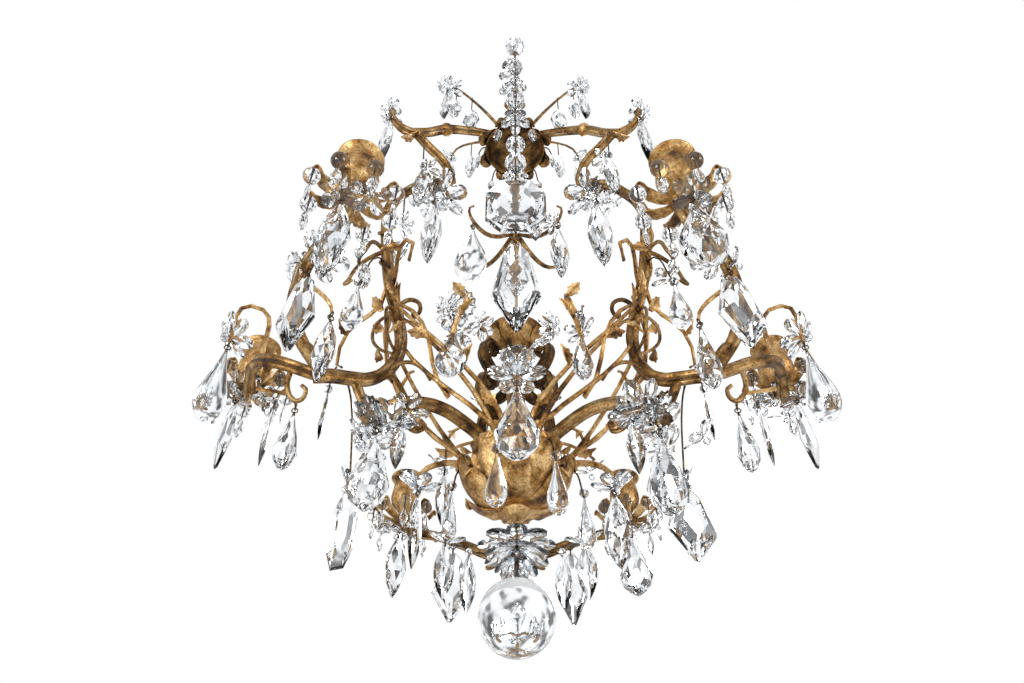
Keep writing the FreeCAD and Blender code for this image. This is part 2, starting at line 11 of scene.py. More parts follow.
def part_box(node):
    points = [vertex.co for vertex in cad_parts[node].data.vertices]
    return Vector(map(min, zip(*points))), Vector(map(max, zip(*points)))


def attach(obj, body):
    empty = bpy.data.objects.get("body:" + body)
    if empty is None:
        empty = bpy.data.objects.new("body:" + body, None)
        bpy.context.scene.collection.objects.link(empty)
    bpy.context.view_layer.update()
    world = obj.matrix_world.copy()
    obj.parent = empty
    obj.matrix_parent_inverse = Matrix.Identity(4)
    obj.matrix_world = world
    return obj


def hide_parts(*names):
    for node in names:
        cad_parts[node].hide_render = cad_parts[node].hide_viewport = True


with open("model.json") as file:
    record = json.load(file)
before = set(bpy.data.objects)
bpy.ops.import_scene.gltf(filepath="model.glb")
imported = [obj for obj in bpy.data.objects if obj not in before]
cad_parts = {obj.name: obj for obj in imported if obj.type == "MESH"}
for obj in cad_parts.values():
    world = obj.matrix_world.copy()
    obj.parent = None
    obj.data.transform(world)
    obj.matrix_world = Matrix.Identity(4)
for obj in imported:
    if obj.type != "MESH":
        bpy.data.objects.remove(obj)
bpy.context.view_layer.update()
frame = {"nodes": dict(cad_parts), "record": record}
MM = 0.001
random.seed(7)
UP = Vector((0, 0, 1))


# ---------- small tools ----------
def polar(az, r, z):
    """A point in metres from an azimuth in degrees, a radius and a height in millimetres."""
    a = math.radians(az)
    return Vector((r * math.sin(a), -r * math.cos(a), z)) * MM


def turn(az):
    """The turn that takes the front of the chandelier to an azimuth."""
    return Matrix.Rotation(math.radians(az), 4, "Z")


def stand(az, r, z):
    """The placing that takes a piece from zero to a spot on the frame, its front outward."""
    return Matrix.Translation(polar(az, r, z)) @ turn(az)


def clear_selection():
    bpy.ops.object.select_all(action="DESELECT")


def active(obj):
    clear_selection()
    obj.select_set(True)
    bpy.context.view_layer.objects.active = obj
    return obj


def apply_modifiers(obj):
    """Applies an object's modifiers, first to last."""
    active(obj)
    for modifier in list(obj.modifiers):
        bpy.ops.object.modifier_apply(modifier=modifier.name)
    return obj


def smooth(obj, angle):
    """Smooth shading across edges flatter than an angle in degrees."""
    active(obj)
    bpy.ops.object.shade_smooth_by_angle(angle=math.radians(angle))


def edit_all():
    """Enters edit mode with everything selected."""
    bpy.ops.object.mode_set(mode="EDIT")
    bpy.ops.mesh.select_all(action="SELECT")


def close_edit():
    """Turns every face outward and leaves edit mode."""
    bpy.ops.mesh.select_all(action="SELECT")
    bpy.ops.mesh.normals_make_consistent(inside=False)
    bpy.ops.object.mode_set(mode="OBJECT")


def joined(name, pieces):
    """One object from several, its origin at zero."""
    clear_selection()
    for piece in pieces:
        piece.select_set(True)
    bpy.context.view_layer.objects.active = pieces[0]
    if len(pieces) > 1:
        bpy.ops.object.join()
    made = bpy.context.object
    made.name = name
    made.data.name = name
    return made


def copy_of(master, matrix):
    """A copy with its own mesh, placed by moving its vertices."""
    made = master.copy()
    made.data = master.data.copy()
    made.data.transform(matrix)
    if matrix.determinant() < 0:
        made.data.flip_normals()
    bpy.context.collection.objects.link(made)
    return made


def drop(*masters):
    """Deletes pieces that were only patterns for copies."""
    for master in masters:
        bpy.data.objects.remove(master, do_unlink=True)


# ---------- materials ----------
def srgb(code):
    """A linear colour from a written one such as C89A4A."""
    parts = [int(code[i:i + 2], 16) / 255 for i in (0, 2, 4)]
    return tuple(p / 12.92 if p <= 0.04045 else ((p + 0.055) / 1.055) ** 2.4 for p in parts) + (1,)


def add(tree, kind, inputs=None, **settings):
    """Adds a node, sets it, and fills its inputs with values or with other nodes' outputs."""
    made = tree.nodes.new("ShaderNode" + kind)
    for key, value in settings.items():
        setattr(made, key, value)
    for key, value in (inputs or {}).items():
        if isinstance(value, bpy.types.NodeSocket):
            tree.links.new(value, made.inputs[key])
        else:
            made.inputs[key].default_value = value
    return made


def ramp(tree, source, *stops):
    """A colour ramp with written colours or grey levels at places from 0 to 1."""
    made = add(tree, "ValToRGB", {"Fac": source})
    while len(made.color_ramp.elements) < len(stops):
        made.color_ramp.elements.new(0.5)
    for element, (place, colour) in zip(made.color_ramp.elements, stops):
        element.position = place
        element.color = srgb(colour) if isinstance(colour, str) else (colour, colour, colour, 1)
    return made.outputs["Color"]


def new_material(name):
    material = bpy.data.materials.new(name)
    material.use_nodes = True
    tree = material.node_tree
    return material, tree, tree.nodes["Principled BSDF"], add(tree, "TexCoord").outputs["Object"]


def size(mm):
    """The noise scale whose features are about this many millimetres."""
    return 1000 / mm


def gilding(name, bright, mid, ground, wear):
    """Leaf gold on forged iron: bright where it is whole, red-brown where it is worn through to the ground,
    and darker in its hollows, which is painted shade.
    """
    material, tree, shader, place = new_material(name)
    patches = add(tree, "TexNoise", {"Vector": place, "Scale": size(14), "Detail": 5, "Roughness": 0.62})
    grain = add(tree, "TexNoise", {"Vector": place, "Scale": size(1.6), "Detail": 3})
    dents = add(tree, "TexVoronoi", {"Vector": place, "Scale": size(4.5)}, feature="SMOOTH_F1")
    edges = add(tree, "NewGeometry").outputs["Pointiness"]
    worn = add(tree, "Math", {0: patches.outputs["Fac"], 1: wear}, operation="ADD").outputs[0]
    gold = ramp(tree, worn, (0.36, ground), (0.47, mid), (0.62, bright), (0.8, bright))
    # painted shade: pointiness darkens the gold in hollows and creases
    hollow_shade = ramp(tree, edges, (0.44, 0.42), (0.5, 0.86), (0.56, 1.0))
    shaded = add(tree, "Mix", {"Factor": 1.0, "A": gold, "B": hollow_shade}, data_type="RGBA",
                 blend_type="MULTIPLY")
    speck = ramp(tree, grain.outputs["Fac"], (0.36, 0.4), (0.52, 1.0))
    colour = add(tree, "Mix", {"Factor": 0.7, "A": shaded.outputs["Result"], "B": speck},
                 data_type="RGBA", blend_type="MULTIPLY")
    tree.links.new(colour.outputs["Result"], shader.inputs["Base Color"])
    tree.links.new(ramp(tree, worn, (0.36, 0.72), (0.5, 0.97)), shader.inputs["Metallic"])
    tree.links.new(ramp(tree, grain.outputs["Fac"], (0.3, 0.62), (0.7, 0.38)), shader.inputs["Roughness"])
    relief = add(tree, "Math", {0: grain.outputs["Fac"], 1: dents.outputs["Distance"]}, operation="ADD")
    bump = add(tree, "Bump", {"Height": relief.outputs[0], "Strength": 0.55, "Distance": 0.0009})
    tree.links.new(bump.outputs["Normal"], shader.inputs["Normal"])
    return material


# warm, bright leaf gold of the bars, arms and cups
GOLD = gilding("leaf_gold_on_iron", "E6C188", "B0834A", "553A22", 0.0)
# painted shade: a darker copy of the leaf gold for the crown and the stem, which sit in shade
GOLD_PAINTED_SHADE = gilding("leaf_gold_painted_shade", "B8915A", "7A5A34", "3A2A1B", -0.02)


def crystal(name, tint, veil):
    """Cut rock crystal: clear and hard, with faint grey veils and a slightly uneven polish."""
    material, tree, shader, place = new_material(name)
    veils = add(tree, "TexNoise", {"Vector": place, "Scale": size(18), "Detail": 6, "Roughness": 0.7})
    colour = ramp(tree, veils.outputs["Fac"], (0.42, veil), (0.56, tint))
    tree.links.new(colour, shader.inputs["Base Color"])
    tree.links.new(ramp(tree, veils.outputs["Fac"], (0.3, 0.05), (0.5, 0.0)), shader.inputs["Roughness"])
    shader.inputs["Transmission Weight"].default_value = 1.0
    shader.inputs["IOR"].default_value = 1.54
    ripple = add(tree, "TexNoise", {"Vector": place, "Scale": size(9), "Detail": 1})
    bump = add(tree, "Bump", {"Height": ripple.outputs["Fac"], "Strength": 0.25, "Distance": 0.0004})
    tree.links.new(bump.outputs["Normal"], shader.inputs["Normal"])
    return material


# the water-clear stones
CRYSTAL = crystal("rock_crystal", "FBFDFF", "E4E8EC")


def dark_wire():
    """Old brass wire gone nearly black, with a little metal showing."""
    material, tree, shader, place = new_material("tarnished_brass_wire")
    tarnish = add(tree, "TexNoise", {"Vector": place, "Scale": size(2), "Detail": 3})
    tree.links.new(ramp(tree, tarnish.outputs["Fac"], (0.4, "2A2018"), (0.65, "7A6040")),
                   shader.inputs["Base Color"])
    tree.links.new(ramp(tree, tarnish.outputs["Fac"], (0.4, 0.6), (0.7, 0.35)), shader.inputs["Roughness"])
    shader.inputs["Metallic"].default_value = 0.9
    return material


WIRE = dark_wire()


def finish(obj, material, body, *nodes, soft=None):
    """Gives a finished piece its material and its body, and hides the CAD nodes that it stands for."""
    obj.data.materials.clear()
    obj.data.materials.append(material)
    if soft:
        smooth(obj, soft)
    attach(obj, body)
    if nodes:
        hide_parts(*nodes)


# ---------- forged bars ----------
def section(name, ribs, depth):
    """A closed outline of unit radius with rounded ribs along it."""
    outline = bpy.data.curves.new(name, "CURVE")
    spline = outline.splines.new("POLY")
    count = ribs * 4 if ribs else 12
    spline.points.add(count - 1)
    for k, point in enumerate(spline.points):
        a = 2 * math.pi * k / count
        r = 1 + depth * math.cos(ribs * a)
        point.co = (r * math.cos(a), r * math.sin(a), 0, 1)
    spline.use_cyclic_u = True
    made = bpy.data.objects.new(name, outline)
    bpy.context.collection.objects.link(made)
    return made


RIBBED = section("ribbed_section", 5, 0.24)
ROUND = section("round_section", 0, 0.0)


def forged(name, points, radii, profile=None, fine=7):
    """A bar drawn along a smooth path of points in metres, its thickness changing evenly along it."""
    clear_selection()
    bpy.ops.curve.primitive_bezier_curve_add()
    made = bpy.context.object
    made.name = name
    data = made.data
    spline = data.splines[0]
    spline.bezier_points.add(len(points) - 2)
    for k, (point, at) in enumerate(zip(spline.bezier_points, points)):
        place = k / (len(points) - 1) * (len(radii) - 1)
        low = min(int(place), len(radii) - 2)
        point.co = at
        point.handle_left_type = point.handle_right_type = "AUTO"
        point.radius = (radii[low] + (radii[low + 1] - radii[low]) * (place - low)) * MM
    data.dimensions = "3D"
    data.resolution_u = fine
    data.twist_mode = "MINIMUM"
    data.bevel_mode = "OBJECT"
    data.bevel_object = profile or RIBBED
    data.use_fill_caps = True
    active(made)
    bpy.ops.object.convert(target="MESH")
    made.matrix_world = Matrix()
    return made


# ---------- leaves, turned work and stones ----------
def sheet_of(name, along, across, shape, thick):
    """A thin closed leaf: a grid whose points go where shape(s, t) says, s along it and t from -1 to 1."""
    clear_selection()
    bpy.ops.mesh.primitive_grid_add(x_subdivisions=across, y_subdivisions=along, size=2)
    made = bpy.context.object
    made.name = name
    for vertex in made.data.vertices:
        vertex.co = shape((vertex.co.y + 1) / 2, vertex.co.x)
    solid = made.modifiers.new("thick", "SOLIDIFY")
    solid.thickness = thick * MM
    solid.offset = 0
    return apply_modifiers(made)


def on_path(points, s):
    """A point at a share of a path of (radius, height) corners, rounded between them."""
    place = s * (len(points) - 1)
    k = min(int(place), len(points) - 2)
    f = place - k
    p0, p1, p2, p3 = (points[max(0, min(len(points) - 1, k + d))] for d in (-1, 0, 1, 2))
    return [0.5 * (2 * b + (c - a) * f + (2 * a - 5 * b + 4 * c - d) * f * f
                   + (3 * b - a - 3 * c + d) * f ** 3) for a, b, c, d in zip(p0, p1, p2, p3)]


def leaf_ring(name, profile, count, widths, ridge=0.8, thick=1.0, along=14, across=6, start=0.5):
    """Forged leaves standing round an axis, each following the same profile. The first leaf's middle is
    turned from the front by start, a share of the step between leaves."""
    pieces = []
    for k in range(count):
        middle = (k + start) * 2 * math.pi / count

        def shape(s, t):
            r, z = on_path(profile, s)
            half = on_path([(w, 0) for w in widths], s)[0]
            vein = ridge * (1 - abs(t)) * math.sin(math.pi * min(1, s * 1.1)) - 0.35 * ridge * (
                math.cos(3 * math.pi * t))
            lobe = 1 + 0.1 * math.sin(s * 9 * math.pi) * s
            side = half * t * lobe
            a = middle + math.atan2(side, max(r, 1))
            far = math.hypot(max(r, 1), side) - 0.22 * abs(t) * half + vein
            return Vector((far * math.sin(a), -far * math.cos(a), z)) * MM
        pieces.append(sheet_of(name, along, across, shape, thick))
    return joined(name, pieces)


def turned(name, profile, segments):
    """Turned work: a ring drawn up through its (radius, height) steps in edit mode, closed at its ends,
    its sharp edges rounded off by half a millimetre."""
    clear_selection()
    r0, z0 = profile[0]
    bpy.ops.mesh.primitive_circle_add(vertices=segments, radius=r0 * MM, fill_type="NGON",
                                      location=(0, 0, z0 * MM))
    made = bpy.context.object
    made.name = name
    bpy.ops.object.transform_apply(location=True)
    edit_all()
    for (r1, z1), (r2, z2) in zip(profile, profile[1:]):
        bpy.ops.mesh.extrude_region_move(TRANSFORM_OT_translate={"value": (0, 0, (z2 - z1) * MM)})
        bpy.ops.transform.resize(value=(r2 / r1, r2 / r1, 1), center_override=(0, 0, z2 * MM))
    close_edit()
    bevel = made.modifiers.new("round", "BEVEL")
    bevel.width = 0.5 * MM
    bevel.segments = 2
    bevel.limit_method = "ANGLE"
    bevel.angle_limit = math.radians(25)
    return apply_modifiers(made)


def brilliant(name, steps, sides):
    """A round stone one unit high and wide, hanging from zero: each ring of facets is turned half a step."""
    clear_selection()
    share, half = steps[0]
    bpy.ops.mesh.primitive_circle_add(vertices=sides, radius=half / 2, fill_type="NGON",
                                      location=(0, 0, -share))
    made = bpy.context.object
    made.name = name
    bpy.ops.object.transform_apply(location=True)
    edit_all()
    for (s1, h1), (s2, h2) in zip(steps, steps[1:]):
        bpy.ops.mesh.extrude_region_move(TRANSFORM_OT_translate={"value": (0, 0, s1 - s2)})
        bpy.ops.transform.resize(value=(h2 / h1, h2 / h1, 1), center_override=(0, 0, -s2))
        bpy.ops.transform.rotate(value=math.pi / sides, orient_axis="Z", center_override=(0, 0, -s2))
    bpy.ops.mesh.select_all(action="SELECT")
    bpy.ops.mesh.quads_convert_to_tris(quad_method="SHORTEST_DIAGONAL")
    close_edit()
    return made


def drawn_flat(name, corners, middle, steps):
    """A flat stone: an outline in the XZ plane, drawn through steps of (depth, scale about the middle)."""
    clear_selection()
    bpy.ops.mesh.primitive_circle_add(vertices=len(corners), radius=1, fill_type="NGON")
    made = bpy.context.object
    made.name = name
    deep, scale = steps[0]
    for vertex, (x, z) in zip(made.data.vertices, corners):
        vertex.co = (x * scale, deep, middle + (z - middle) * scale)
    edit_all()
    for (d1, s1), (d2, s2) in zip(steps, steps[1:]):
        bpy.ops.mesh.extrude_region_move(TRANSFORM_OT_translate={"value": (0, d2 - d1, 0)})
        bpy.ops.transform.resize(value=(s2 / s1, 1, s2 / s1), center_override=(0, d2, middle))
    close_edit()
    return made


def plate(name, outline, steps):
    """A flat bevelled stone from the right half of its outline, as (full width, height) corners."""
    corners = [(x / 2, z) for x, z in outline] + [(-x / 2, z) for x, z in reversed(outline)]
    return drawn_flat(name, corners, sum(z for x, z in corners) / len(corners), steps)


# The cuts, one unit wide and high. Flat ones have a table, a bevelled shoulder and a girdle.
BEVELLED = ((-0.5, 0.5), (-0.16, 0.94), (0, 1.0), (0.16, 0.94), (0.5, 0.5))
RIDGED = ((-0.5, 0.22), (-0.34, 0.6), (-0.05, 1.0), (0.05, 1.0), (0.34, 0.6), (0.5, 0.22))
CUTS = {
    "pear": brilliant("pear_cut", ((0, 0.1), (0.18, 0.3), (0.44, 0.68), (0.68, 1.0), (0.82, 0.86),
                                   (0.94, 0.46), (1, 0.1)), 8),
    "drop": brilliant("drop_cut", ((0, 0.08), (0.06, 0.14), (0.14, 0.22), (0.24, 0.34), (0.34, 0.48),
                                   (0.44, 0.63), (0.54, 0.78), (0.63, 0.91), (0.72, 0.99), (0.8, 0.97),
                                   (0.87, 0.84), (0.93, 0.64), (0.97, 0.42), (1, 0.14)), 26),
    "bead": brilliant("bead_cut", ((0, 0.3), (0.16, 0.74), (0.38, 0.98), (0.62, 0.98), (0.84, 0.74),
                                   (1, 0.3)), 8),
    "oval": brilliant("oval_cut", ((0, 0.08), (0.14, 0.42), (0.34, 0.84), (0.54, 1.0), (0.78, 0.68),
                                   (0.92, 0.34), (1, 0.06)), 7),
    "almond": plate("almond_cut", ((0.08, 0), (0.5, -0.14), (0.88, -0.33), (1, -0.52), (0.86, -0.7),
                                   (0.46, -0.88), (0.06, -1)), RIDGED),
    "kite": plate("kite_cut", ((0.16, 0), (0.5, -0.1), (1, -0.62), (0.1, -1)), BEVELLED),
    "plaque": plate("plaque_cut", ((0.5, 0), (1, -0.25), (1, -0.78), (0.5, -1)), BEVELLED),
    "petal": plate("petal_cut", ((0.2, 0), (0.72, -0.24), (1, -0.58), (0.8, -0.86), (0.3, -1)), RIDGED),
}
DEEP = {"pear": 0.85, "drop": 0.85, "bead": 1.0, "oval": 0.7, "almond": 0.42, "kite": 0.36, "plaque": 0.3,
        "petal": 0.3}


def stone(cut, top, width, height, az, tilt=0.0, twist=0.0):
    """A stone of a cut, hung at a point, its face outward at an azimuth. Sizes in millimetres."""
    matrix = Matrix.Translation(top) @ turn(az + twist) @ Matrix.Rotation(tilt, 4, "X")
    matrix = matrix @ Matrix.Diagonal((width * MM, width * DEEP[cut] * MM, height * MM, 1))
    return copy_of(CUTS[cut], matrix)


def wire(points, thick=0.5):
    """A short piece of wire through points in metres."""
    return forged("wire", points, (thick, thick), ROUND, 3)


LINK_R, LINK_WIRE_R = 2.3, 0.5
LINK_BELOW_HINGE, STONE_BELOW_HINGE = 0.9, 3.6


def link(centre, az):
    """A wire ring standing in the plane that faces an azimuth."""
    clear_selection()
    bpy.ops.mesh.primitive_torus_add(major_radius=LINK_R * MM, minor_radius=LINK_WIRE_R * MM,
                                     major_segments=14, minor_segments=6,
                                     rotation=(math.pi / 2, 0, math.radians(az)), location=centre)
    bpy.ops.object.transform_apply(location=True, rotation=True)
    return bpy.context.object


def flower(petals, length, width, open_angle=68):
    """A crystal flower facing -Y with its centre at zero: petals on a wire round a faceted bead."""
    pieces = []
    start = Matrix.Translation((0, 0, -2.5 * MM))
    for k in range(petals):
        spin = Matrix.Rotation(2 * math.pi * (k + 0.5) / petals, 4, "Y")
        lean = Matrix.Rotation(math.radians(90 - open_angle), 4, "X")
        body = Matrix.Diagonal((width * MM, width * 0.32 * MM, length * MM, 1))
        pieces.append(copy_of(CUTS["petal"], spin @ lean @ start @ body))
    heart = Matrix.Translation((0, -3 * MM, 0.33 * width * MM)) @ Matrix.Scale(width * 0.66 * MM, 4)
    pieces.append(copy_of(CUTS["bead"], heart))
    return joined("flower", pieces)


DISC_R = 12
DISC_STEPS = ((2.2, 0.4), (0.6, 0.9), (-0.4, 1.0), (-1.6, 0.86), (-2.4, 0.4), (-4.4, 0.26))


def fluted_disc():
    """A round rosette cut with twelve flutes and a raised boss, facing -Y."""
    flutes = []
    for k in range(24):
        r = 1.0 if k % 2 == 0 else 0.86
        flutes.append((r * math.sin(2 * math.pi * k / 24), r * math.cos(2 * math.pi * k / 24)))
    made = drawn_flat("fluted_disc", flutes, 0, [(depth / DISC_R, scale) for depth, scale in DISC_STEPS])
    made.data.transform(Matrix.Scale(DISC_R * MM, 4))
    return made


FLOWERS = {"six": flower(6, 15, 10), "five": flower(5, 17, 12), "small": flower(5, 10, 7),
           "fluted": fluted_disc()}


def rosette(kind, az, r, z, scale=1.0, down=35, twist=0.0):
    """A crystal flower at a place on the frame, facing outward and a little down."""
    matrix = Matrix.Translation(polar(az, r, z)) @ turn(az + twist)
    matrix = matrix @ Matrix.Rotation(math.radians(down), 4, "X") @ Matrix.Scale(scale, 4)
    return copy_of(FLOWERS[kind], matrix)


# ---------- the frame of gilt iron ----------
BARS = {"cage_bar_1": 60, "cage_bar_2": 180, "cage_bar_3": -60}
BRACKETS = (0, 120, -120)
CUPS = (30, 90, 150, -150, -90, -30)
CUP_RING_R, STAR_Z, CUP_LIP_Z = 220, -476, -424
BAR_TOP = ((26, -99), (50, -113), (85, -137), (112, -166), (130, -176), (144, -166), (147, -150))
BAR_SCROLL = ((118, -170), (100, -186), (86, -196), (77, -213), (76, -235), (100, -250),
              (120, -280), (130, -303), (133, -326), (131, -350), (128, -372), (120, -413),
              (109.5, -446), (105, -473), (112, -503), (125, -518), (138, -523), (152, -527),
              (165, -533))
BAR_SCROLL_THICK = (4.2, 4.2, 3.6, 4.0, 4.4, 4.4, 4.4, 4.4, 4.4, 4.6, 4.6)


def cage_bars():
    """The three bars: crown branch, C-scroll and the round knob where they are welded."""
    for node, az in BARS.items():
        upper = forged(node, [polar(az, r, z) for r, z in BAR_TOP], (3.6, 4, 4.4, 4.2, 4.2, 3.2, 1.6))
        lower = forged(node, [polar(az, r, z) for r, z in BAR_SCROLL], BAR_SCROLL_THICK)
        knob = turned(node, ((2, -7), (5.2, -5.4), (7.2, -2), (7.2, 2), (5.2, 5.4), (2, 7)), 20)
        knob.data.transform(stand(az, 85, -137) @ Matrix.Rotation(math.radians(55), 4, "X"))
        finish(joined(node + "_forged", [upper, lower, knob]), GOLD, "cage", node, soft=50)


ARM_PATH = ((0, 160, -531), (7, 194, -512), (14, 206, -497), (21, 211, -489), (27, 215, -487),
            (30, CUP_RING_R, -478))


def parent_bar(az):
    """The bar that an arm at an azimuth grows from, and the side of it that the arm is on."""
    bar = min(BARS.values(), key=lambda b: abs((az - b + 180) % 360 - 180))
    return bar, 1 if (az - bar + 180) % 360 > 180 else -1


def arms():
    """The six arms, each growing out of a bar's foot to its candle cup."""
    for n, az in enumerate(CUPS):
        bar, side = parent_bar(az)
        path = [polar(bar + side * part, r, z) for part, r, z in ARM_PATH]
        arm = forged("arm", path, (3.8, 4.4, 4.2, 3.8, 4.6, 5.4))
        finish(joined("arm_%d_forged" % (n + 1), [arm]), GOLD, "cage", "arm_%d" % (n + 1), soft=50)


def arches():
    """The arches that carry the bowl, with a brace and a curl at each bar."""
    pieces = []
    for az in BARS.values():
        pieces.append(forged("arch", [polar(az, r, z) for r, z in (
            (16, -551), (30, -536), (46, -527), (66, -521), (86, -524), (103, -533), (118, -548),
            (124, -557))], (3.8, 4.4, 4.6, 4.4, 4.4, 4.2, 3.6)))
        pieces.append(forged("brace", [polar(az, r, z) for r, z in (
            (119, -550), (126, -542), (134, -527))], (3.2, 3.0, 3.2)))
        pieces.append(forged("curl", [polar(az, r, z) for r, z in (
            (97, -529), (92, -545), (82, -548), (80, -540))], (3.4, 3.0, 2.4, 1.8)))
    finish(joined("bowl_arches_forged", pieces), GOLD, "cage", "bowl_arches", soft=50)


CUP_FOOT = STAR_Z + 3.6
CUP_OUTSIDE = ((7, CUP_FOOT), (8, CUP_FOOT + 1), (6, CUP_FOOT + 4), (6.4, CUP_FOOT + 7),
               (9.5, CUP_FOOT + 11), (13.4, CUP_FOOT + 16), (15, CUP_FOOT + 22), (14.6, CUP_FOOT + 27),
               (13, CUP_LIP_Z - 11), (12.6, CUP_LIP_Z - 8), (13.4, CUP_LIP_Z - 4.5),
               (16.4, CUP_LIP_Z - 2.4), (17, CUP_LIP_Z - 1.2), (16.4, CUP_LIP_Z), (11.6, CUP_LIP_Z),
               (11, CUP_LIP_Z - 0.8), (11, CUP_LIP_Z - 23.6), (10.4, CUP_LIP_Z - 24), (2, CUP_LIP_Z - 24))


def cups_and_pans():
    """A turned candle cup over a drip pan of eight leaves at the end of each arm."""
    cup = turned("cup", CUP_OUTSIDE, 36)
    hub = turned("hub", ((3, STAR_Z - 2), (6, STAR_Z - 2), (9, STAR_Z), (10, STAR_Z + 2.4),
                         (9.6, STAR_Z + 3.4), (3, STAR_Z + 3.6)), 24)
    leaves = leaf_ring("pan_leaves", ((6, STAR_Z + 1), (13, STAR_Z + 0.6), (19, STAR_Z + 2.6),
                                      (25, STAR_Z + 6.4), (29.4, STAR_Z + 13), (31, STAR_Z + 11)), 8,
                       (2.6, 4.2, 4.9, 4.6, 2.6), 1.5, 1.2, 10, 6)
    cup_pieces, pan_pieces = [], []
    for az in CUPS:
        place = stand(az, CUP_RING_R, 0)
        cup_pieces.append(copy_of(cup, place))
        pan_pieces += [copy_of(hub, place), copy_of(leaves, place)]
    drop(cup, hub, leaves)
    finish(joined("candle_cups_turned", cup_pieces), GOLD, "cage", "candle_cups", soft=35)
    finish(joined("drip_pan_leaves", pan_pieces), GOLD, "cage", "drip_stars", soft=60)


# the lower and the upper volute of the stem as (radius, height) points
VOLUTES = (((3, -510), (20, -515), (34, -506), (40, -490), (33, -477), (25, -484), (29, -488)),
           ((5, -464), (22, -470), (35, -462), (38, -448), (30, -440), (24, -447), (28, -450)))


def bowl_and_vase():
    """The bowl of leaves at the bottom, and the small vase on its scrolled stem."""
    core = turned("bowl_core", ((9, -588), (14, -586), (21, -580), (26, -570), (28, -559),
                                (27, -550.2)), 32)
    # the bowl's core takes the darker gold: painted shade, as it sits in shade among the leaves
    finish(core, GOLD_PAINTED_SHADE, "cage", soft=60)
    leaves = leaf_ring("bowl_leaves", ((8, -587.5), (22, -584.5), (33, -574), (39, -562), (42, -553),
                                       (45, -549), (45, -554)), 6, (6, 12.5, 15.5, 17, 16.5, 12, 3),
                       3.0, 1.2, 20, 12)
    tips = leaf_ring("bowl_tips", ((9, -587.8), (24, -586), (35, -578), (41, -571), (43, -574)), 6,
                     (4, 9, 11, 8, 2), 1.6, 1.0, 14, 8, 0.0)
    finish(joined("leaf_bowl_forged", [leaves, tips]), GOLD, "cage", "leaf_bowl", soft=60)
    vase = turned("vase_core", ((6, -439), (7.6, -438), (10, -434), (13, -427), (18, -420), (22, -415),
                                (25, -410), (25.6, -408.4), (22, -408.6), (12, -411), (3, -411)), 32)
    cups = leaf_ring("vase_leaves", ((8, -438), (13, -431), (19, -423), (24, -415), (26, -411.5),
                                     (27, -413)), 9, (3.4, 5.2, 6.6, 7.0, 5.0, 1.4), 1.0, 0.9, 12, 6)
    finish(joined("central_vase_forged", [vase, cups]), GOLD, "cage", "central_vase", soft=60)
    stem = [turned("stem_core", ((13, -550), (12, -542), (6, -536), (4, -520), (6.5, -498), (8.5, -470),
                                 (10, -455), (8, -448), (5, -444), (6, -439)), 24)]
    for az in (45, 135, 225, 315):
        for path in VOLUTES:
            strap = forged("volute", [Vector((r, 0, z)) * MM for r, z in path],
                           (2.0, 2.3, 2.4, 2.3, 2.0, 1.6))
            strap.data.transform(turn(az - 90) @ Matrix.Diagonal((1, 2.2, 1, 1)))
            stem.append(strap)
    # the stem takes the darker gold, which is painted shade
    finish(joined("vase_stem_forged", stem), GOLD_PAINTED_SHADE, "cage", "vase_stem", soft=50)


def crown():
    """The inverted cup of leaves that the bars meet under."""
    cup = turned("crown_core", ((8, -88.4), (14, -89), (22, -92.4), (28, -97.6), (31, -102),
                                (33.4, -109), (33.6, -110), (32.4, -110), (29.4, -102), (21, -94),
                                (9.5, -92), (4, -92)), 36)
    leaves = leaf_ring("crown_leaves", ((10, -87.5), (20, -89), (29, -95), (34, -103), (37, -110),
                                        (42, -112), (43, -108)), 8, (3, 6.6, 9.4, 10.6, 9, 6, 1.6),
                       1.4, 1.0, 14, 6)
    # the crown takes the darker gold: painted shade on its underside
    finish(joined("crown_cup_forged", [cup, leaves]), GOLD_PAINTED_SHADE, "cage", "crown_cup", soft=60)


# ---------- twigs, leaves and volutes of the vines ----------
def gilt_leaf():
    """A small forged leaf along +Z from zero, cupped, with lobes and a midrib."""
    def shape(s, t):
        half = 4.6 * math.sin(math.pi * min(1, s ** 0.8 * 0.97 + 0.03)) * (
            1 + 0.22 * math.sin(s * 7 * math.pi))
        return Vector((half * t, -1.6 * abs(t) * half / 4 + 2.6 * s * s, 17 * s)) * MM
    return sheet_of("gilt_leaf", 12, 4, shape, 0.8)


# leaves on the twigs as azimuth from the bracket, radius, height, lean and scale
TWIG_LEAVES = ((18, 50, -530, 40, 1), (30, 78, -508, -50, 1), (42, 100, -484, 60, 1.1),
               (52, 116, -446, -40, 1), (38, 144, -428, 80, 1.0), (26, 97, -478, -70, 1.1),
               (24, 98, -456, 30, 0.9), (55, 120, -430, -20, 1.2), (48, 112, -470, 120, 1.0),
               (12, 34, -538, 100, 0.9))
# leaves on each bar as radius, height, lean and scale
BAR_LEAVES = ((118, -172, 150, 1.4), (78, -238, 200, 1.3), (133, -300, -20, 1.1), (110, -440, 10, 1.3))


def vine_leaves():
    """Small forged leaves along the twigs and on the bars."""
    leaf = gilt_leaf()
    pieces = []
    for az in BRACKETS:
        for side in (1, -1):
            for part, r, z, lean, scale in TWIG_LEAVES:
                place = stand(az + side * part, r, z) @ Matrix.Rotation(math.radians(lean * side), 4, "Y")
                place = place @ Matrix.Rotation(math.radians(35), 4, "X") @ Matrix.Scale(scale, 4)
                pieces.append(copy_of(leaf, place))
    for az in BARS.values():
        for r, z, lean, scale in BAR_LEAVES:
            place = stand(az, r, z) @ Matrix.Rotation(math.radians(lean), 4, "X") @ Matrix.Scale(scale, 4)
            pieces.append(copy_of(leaf, place))
    drop(leaf)
    finish(joined("vine_leaves", pieces), GOLD, "cage", soft=60)


